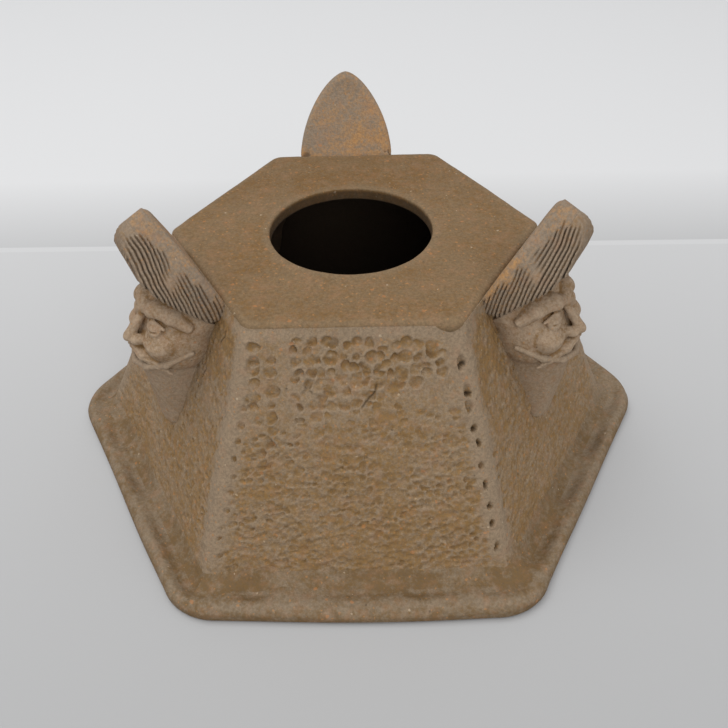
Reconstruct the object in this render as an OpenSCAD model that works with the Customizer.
// Slab-built stoneware flower frog: a hexagonal hollow body on a wider foot slab, with a round
// stem hole in its flat top and three lugs on alternate walls. It stands in a shallow bowl.
// Each lug is a tongue of clay that leans out above the rim, with a bearded head under it.
// Millimetres, +Z up, origin on the table under the centre of the stem hole, front wall facing -Y.

/* [Foot] */
// Distance across opposite corners of the foot, before the corners are rounded
foot_across = 150; // [146:1:170]
// Thickness of the foot slab
foot_t = 4.5; // [3:0.5:6]
// Rounding radius of the foot's corners
foot_corner_r = 11; // [4:1:16]
// Width of the clay pressed into the joint round the outside of the walls
fillet_w = 4; // [2:0.5:5]
// Height of that clay up the walls
fillet_h = 2.5; // [2:0.5:7]

/* [Walls] */
// Distance from the axis to the middle of a wall's outer face, at the foot
wall_foot_r = 57; // [56:0.5:58]
// Distance from the axis to the middle of a wall's outer face, at the rim
wall_rim_r = 36.3; // [36:0.1:36.8]
// Thickness of a wall slab, measured level
wall_t = 3.8; // [3:0.2:5]
// Width of the coil pressed into each inside corner
coil_w = 4; // [2:0.5:6]

/* [Top slab] */
// Height of the top face above the table
top_z = 56; // [55:0.5:57]
// Thickness of the top slab
top_t = 3; // [2.5:0.5:4]
// Distance from the axis to the middle of a top slab edge
top_r = 36.9; // [36.4:0.1:37.2]
// Rounding radius of the top slab's corners
top_corner_r = 5; // [2:0.5:8]
// Diameter of the stem hole
hole_d = 37.5; // [20:0.5:44]

/* [Lugs] */
// Width of a tongue at the rim
tongue_w = 24; // [20:1:28]
// Thickness of a tongue
tongue_t = 4.8; // [4:0.2:5]
// Height of a tongue's tip above the table
tongue_tip_z = 74.5; // [72:0.5:78]
// Distance from the axis to a tongue's tip, on its inner face
tongue_tip_r = 45.5; // [44:0.5:47]
// How far the back lug sits to the left of the middle of its wall
back_lug_shift = 2.4; // [0:0.2:4]
// Width of a head
head_w = 21; // [20:0.5:23]
// Distance from the axis to the front of a head
head_front_r = 55; // [54.5:0.5:56]
// Height of a beard's lower end above the table
beard_end_z = 21.5; // [18:0.5:26]

/* [Hidden] */
SIDES = ["front", "front_right", "back_right", "back", "back_left", "front_left"];
LUGS = ["right", "back", "left"];
LUG_PIECES = ["tongue", "hair", "head", "brow", "eyes", "nose", "cheeks", "moustache", "beard"];

side_step = 360 / len(SIDES);
front_azimuth = -90;
half_side = side_step / 2;
reach = 200;
sliver = 0.01;
under_top = top_z - top_t;
clay = [0.52, 0.42, 0.31];
pale_clay = [0.57, 0.49, 0.40];
dark_clay = [0.46, 0.37, 0.27];

// Distance from the axis to the outer wall face at height z
function face_r(z) = wall_foot_r + (wall_rim_r - wall_foot_r) * (z - foot_t) / (top_z - foot_t);
// The point a share s of the way from a to b
function between(a, b, s) = a + (b - a) * s;
// Azimuth of side i, and of lug i, which stand on every second side
function side_azimuth(i) = front_azimuth + side_step * i;
function lug_azimuth(i) = side_azimuth(2 * i + 1);
// How far lug i is moved along its wall
function lug_shift(i) = LUGS[i] == "back" ? back_lug_shift : 0;

// Outline of a regular hexagon with its flats on the sides' azimuths and its corners rounded
function rounded_hexagon(apothem, corner_r, steps = 8) = [
    for (i = [0:len(SIDES) - 1], k = [0:steps])
        let (
            corner_azimuth = side_azimuth(i) + half_side,
            centre_r = (apothem - corner_r) / cos(half_side),
            a = corner_azimuth - half_side + side_step * k / steps
        )
        [
            centre_r * cos(corner_azimuth) + corner_r * cos(a),
            centre_r * sin(corner_azimuth) + corner_r * sin(a)
        ]
];

// A bar of the given width whose section is drawn as [distance from the axis, height] points
module bar(section, width = reach) {
    rotate([90, 0, 0]) linear_extrude(width, center = true) polygon(section);
}

// The space of one side: a wedge between the two corner planes beside it
module side_wedge() {
    linear_extrude(reach)
        polygon([[0, 0], [reach, -reach * tan(half_side)], [reach, reach * tan(half_side)]]);
}

module foot_slab() {
    color(clay) linear_extrude(foot_t)
        polygon(rounded_hexagon(foot_across / 2 * cos(half_side), foot_corner_r));
}

module foot_fillet() {
    section = [
        [face_r(foot_t), foot_t],
        [face_r(foot_t) + fillet_w, foot_t],
        [face_r(foot_t + fillet_h), foot_t + fillet_h]
    ];
    color(dark_clay) union() {
        for (i = [0:len(SIDES) - 1])
            rotate(side_azimuth(i)) intersection() {
                bar(section);
                side_wedge();
            }
    }
}

module wall(azimuth) {
    section = [
        [face_r(foot_t) - wall_t, foot_t],
        [face_r(foot_t), foot_t],
        [face_r(under_top), under_top],
        [face_r(under_top) - wall_t, under_top]
    ];
    color(clay) rotate(azimuth) intersection() {
        bar(section);
        side_wedge();
    }
}

// The coil fills the inside corner back to a flat face coil_w wide of the corner line
module seam_coil(azimuth) {
    inside = [
        [0, foot_t],
        [face_r(foot_t) - wall_t, foot_t],
        [face_r(under_top) - wall_t, under_top],
        [0, under_top]
    ];
    function corner_r(z) = (face_r(z) - wall_t) / cos(half_side);
    band = [
        [corner_r(foot_t) - coil_w, foot_t],
        [corner_r(foot_t) + coil_w, foot_t],
        [corner_r(under_top) + coil_w, under_top],
        [corner_r(under_top) - coil_w, under_top]
    ];
    color(dark_clay) rotate(azimuth) intersection() {
        rotate(half_side) bar(inside);
        rotate(-half_side) bar(inside);
        bar(band);
    }
}

module top_slab() {
    color(clay) translate([0, 0, under_top]) linear_extrude(top_t) difference() {
        polygon(rounded_hexagon(top_r, top_corner_r));
        circle(d = hole_d, $fn = 96);
    }
}

// Lug pieces are drawn on a wall whose outward direction is +X

// Points of the tongue and the hair, as [distance from the axis, height]
lean = atan2(tongue_tip_r - top_r, tongue_tip_z - top_z);
tongue_inner_tip = [tongue_tip_r, tongue_tip_z];
tongue_outer_tip = tongue_inner_tip + tongue_t * [cos(lean), -sin(lean)];
tongue_outer_rim = [top_r + tongue_t / cos(lean), top_z];
tongue_end_z = top_z - 10;
tongue_end = [face_r(tongue_end_z), tongue_end_z];
hair_root = between(tongue_outer_rim, tongue_end, 0.4);
hair_front = tongue_outer_tip + [-0.6, -12.8];
arch_power = 1.7;

// The tongue's outline across its width: straight to the rim, then an arch to the tip
module tongue_outline(inset = 0) {
    half_w = tongue_w / 2 - inset;
    rise = tongue_tip_z - top_z + sliver;
    steps = 12;
    function half_width(s) = half_w * pow(1 - pow(s, arch_power), 1 / arch_power);
    right = [
        for (k = [0:steps])
            let (s = sin(90 * k / steps)) [half_width(min(s, 1)), top_z + rise * s]
    ];
    left = [for (k = [steps - 1:-1:0]) [-right[k][0], right[k][1]]];
    rotate([90, 0, 90]) linear_extrude(reach)
        polygon(concat([[-half_w, 0], [half_w, 0]], right, left));
}

module tongue() {
    color(pale_clay) intersection() {
        bar([
            [top_r, top_z],
            [top_r, under_top],
            [face_r(under_top), under_top],
            tongue_end,
            tongue_outer_rim,
            tongue_outer_tip,
            tongue_inner_tip
        ]);
        tongue_outline();
    }
}

// The hair hangs over the forehead in front, and reaches down to the temples at the sides
module hair() {
    color(clay) intersection() {
        bar([
            tongue_outer_rim,
            hair_root,
            hair_front,
            tongue_outer_tip + [1.5, -9.6],
            tongue_outer_tip + [2.5, -5.5],
            tongue_outer_tip + [1.8, -1.8],
            tongue_outer_tip
        ]);
        tongue_outline(0.6);
    }
}

head_foot_z = 38;
nose_tip = [head_front_r + 2, 45.3];

// The head seen from above: flat-fronted, with rounded sides
module head_plan() {
    steps = 10;
    root_r = 30;
    temple_r = head_front_r - 11;
    power = 2.2;
    function front(s) = temple_r + 12 * pow(1 - pow(abs(s), power), 1 / power);
    linear_extrude(reach) polygon(concat(
        [[root_r, head_w / 2], [root_r, -head_w / 2]],
        [for (k = [-steps:steps]) let (s = sin(90 * k / steps)) [front(s), s * head_w / 2]]
    ));
}

module head_block() {
    intersection() {
        bar([
            [face_r(head_foot_z), head_foot_z],
            [head_front_r - 0.8, head_foot_z],
            [head_front_r, 45],
            [head_front_r - 1.6, 50],
            [head_front_r - 4, 56],
            hair_front,
            hair_root,
            tongue_end
        ]);
        head_plan();
    }
}

module head() {
    color(pale_clay) head_block();
}

// A face piece is pressed on to the head: what would lie inside the head is cut away
module pressed_on() {
    difference() {
        children();
        head_block();
    }
}

module brow() {
    brow_r = 1.9;
    brow_w = 15;
    color(pale_clay) pressed_on()
        translate([head_front_r - 3.2, 0, 53.4]) rotate([90, 0, 0])
            cylinder(h = brow_w, r = brow_r, center = true, $fn = 24);
}

module eyes() {
    color(pale_clay) pressed_on()
        for (side = [-1, 1])
            translate([head_front_r - 1.8, side * 4.3, 49.3]) sphere(r = 1.7, $fn = 24);
}

module nose() {
    nose_w = 4.2;
    nose_foot_z = 43.6;
    color(pale_clay) pressed_on()
        bar([
            [head_front_r - 2.6, 51.4],
            nose_tip,
            [head_front_r + 0.8, nose_foot_z],
            [head_front_r - 2, nose_foot_z]
        ], nose_w);
}

module cheeks() {
    color(pale_clay) pressed_on()
        for (side = [-1, 1])
            translate([head_front_r - 2.6, side * 6, 44.8]) sphere(r = 2.85, $fn = 24);
}

module moustache() {
    droop = 20;
    strand_l = 6.5;
    strand_r = 1.3;
    color(pale_clay) pressed_on()
        for (side = [0, 1])
            mirror([0, side, 0]) translate([head_front_r + 0.2, 0.4, 42.2])
                rotate([-90 - droop, 0, 0]) cylinder(h = strand_l, r = strand_r, $fn = 24);
}

module beard() {
    half_top = 7.5;
    half_end = 4;
    color(clay) intersection() {
        bar([
            [face_r(head_foot_z), head_foot_z],
            [head_front_r - 0.8, head_foot_z],
            [face_r(beard_end_z) + 0.6, beard_end_z],
            [face_r(beard_end_z), beard_end_z]
        ]);
        rotate([90, 0, 90]) linear_extrude(reach) polygon([
            [-half_top, head_foot_z],
            [half_top, head_foot_z],
            [half_end, beard_end_z],
            [-half_end, beard_end_z]
        ]);
    }
}

module lug_piece(piece) {
    if (piece == "tongue") tongue();
    if (piece == "hair") hair();
    if (piece == "head") head();
    if (piece == "brow") brow();
    if (piece == "eyes") eyes();
    if (piece == "nose") nose();
    if (piece == "cheeks") cheeks();
    if (piece == "moustache") moustache();
    if (piece == "beard") beard();
}

foot_slab();
foot_fillet();
top_slab();
for (i = [0:len(SIDES) - 1]) {
    wall(side_azimuth(i));
    seam_coil(side_azimuth(i) + half_side);
}
for (piece = LUG_PIECES, i = [0:len(LUGS) - 1])
    rotate(lug_azimuth(i)) translate([0, lug_shift(i), 0]) lug_piece(piece);
